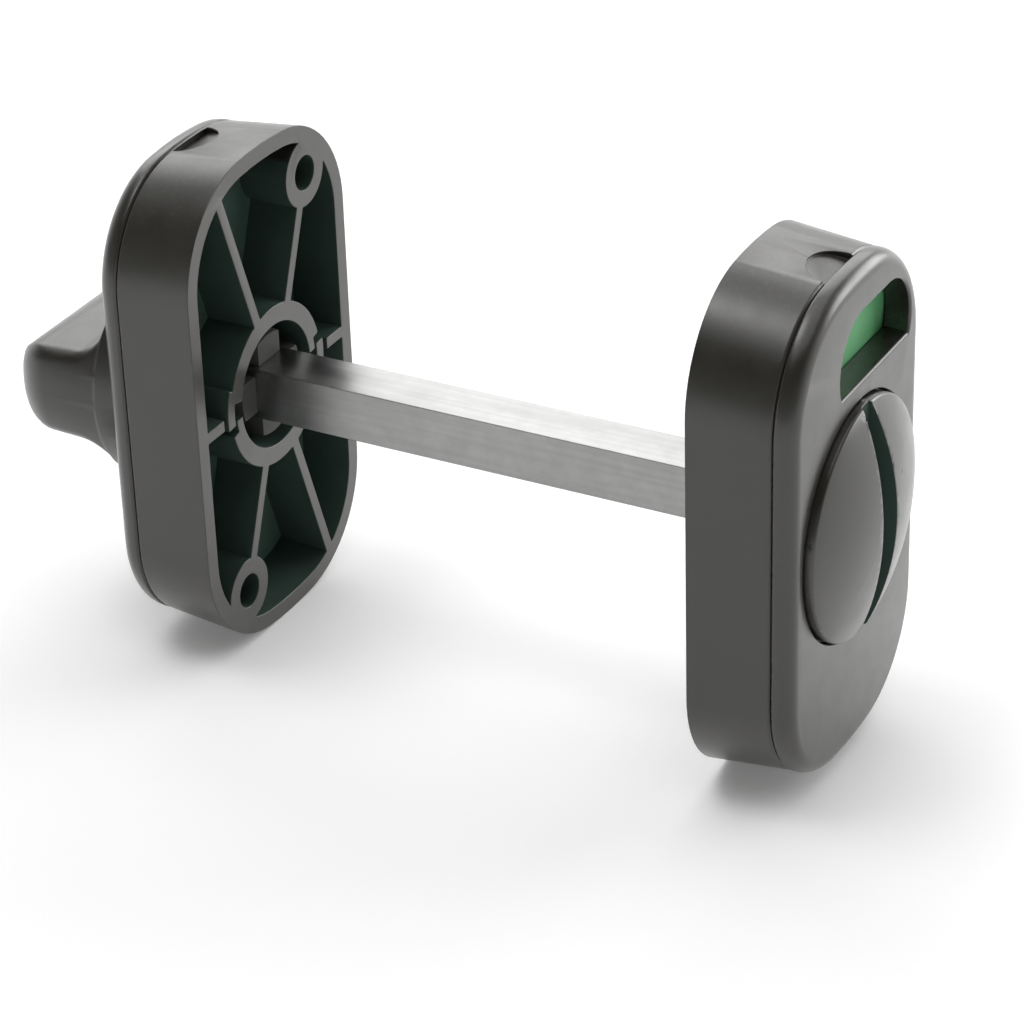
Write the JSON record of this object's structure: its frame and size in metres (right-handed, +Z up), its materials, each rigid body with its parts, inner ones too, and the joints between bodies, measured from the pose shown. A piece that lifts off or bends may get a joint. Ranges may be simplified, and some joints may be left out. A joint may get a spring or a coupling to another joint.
{
  "type": "toilet indicator bolt set",
  "caption": "Toilet indicator set: turn knob inside, coin release disc with vacant and occupied window outside, joined by a square spindle through the door.",
  "frame": {"origin": "spindle axis at the inside unit's door face", "axes": "+X along the spindle from the inside unit to the outside unit, +Z up, +Y across the plates"},
  "size_m": [0.135, 0.0426, 0.0766],
  "materials": {
    "base_plastic": "satin moulded, warm grey",
    "cover_plastic": "satin moulded, warm grey",
    "knob_plastic": "satin moulded, warm grey",
    "disc_plastic": "satin moulded, warm grey",
    "spindle_steel": "bright drawn steel",
    "vacant_green": "green moulded",
    "occupied_red": "red moulded"
  },
  "bodies": {
    "inside_housing": {"inside_base": "base_plastic", "inside_cover": "cover_plastic"},
    "knob_and_spindle": {"turn_knob": "knob_plastic", "square_spindle": "spindle_steel"},
    "outside_housing": {"outside_base": "base_plastic", "outside_cover": "cover_plastic", "occupied_field": "occupied_red"},
    "release": {"release_disc": "disc_plastic"},
    "shutter": {"indicator_shutter": "vacant_green"}
  },
  "joints": [
    {"name": "knob_turn", "type": "hinge", "parent": "inside_housing", "child": "knob_and_spindle", "pos_m": [0, 0, 0], "axis": [-1, 0, 0], "range_deg": [0, 90]},
    {"name": "door_thickness", "type": "slide", "parent": "inside_housing", "child": "outside_housing", "axis": [1, 0, 0], "range_m": [-0.004, 0.006]},
    {"name": "release_turn", "type": "hinge", "parent": "outside_housing", "child": "release", "pos_m": [0.0765, 0, 0], "axis": [-1, 0, 0], "range_deg": [0, 90]},
    {"name": "shutter_slide", "type": "slide", "parent": "outside_housing", "child": "shutter", "axis": [0, 0, -1], "range_m": [0, 0.01131]}
  ],
  "couplings": [
    {"joint": "release_turn", "follows": "knob_turn", "ratio": 1},
    {"joint": "shutter_slide", "follows": "knob_turn", "m_per_rad": 0.0072}
  ]
}
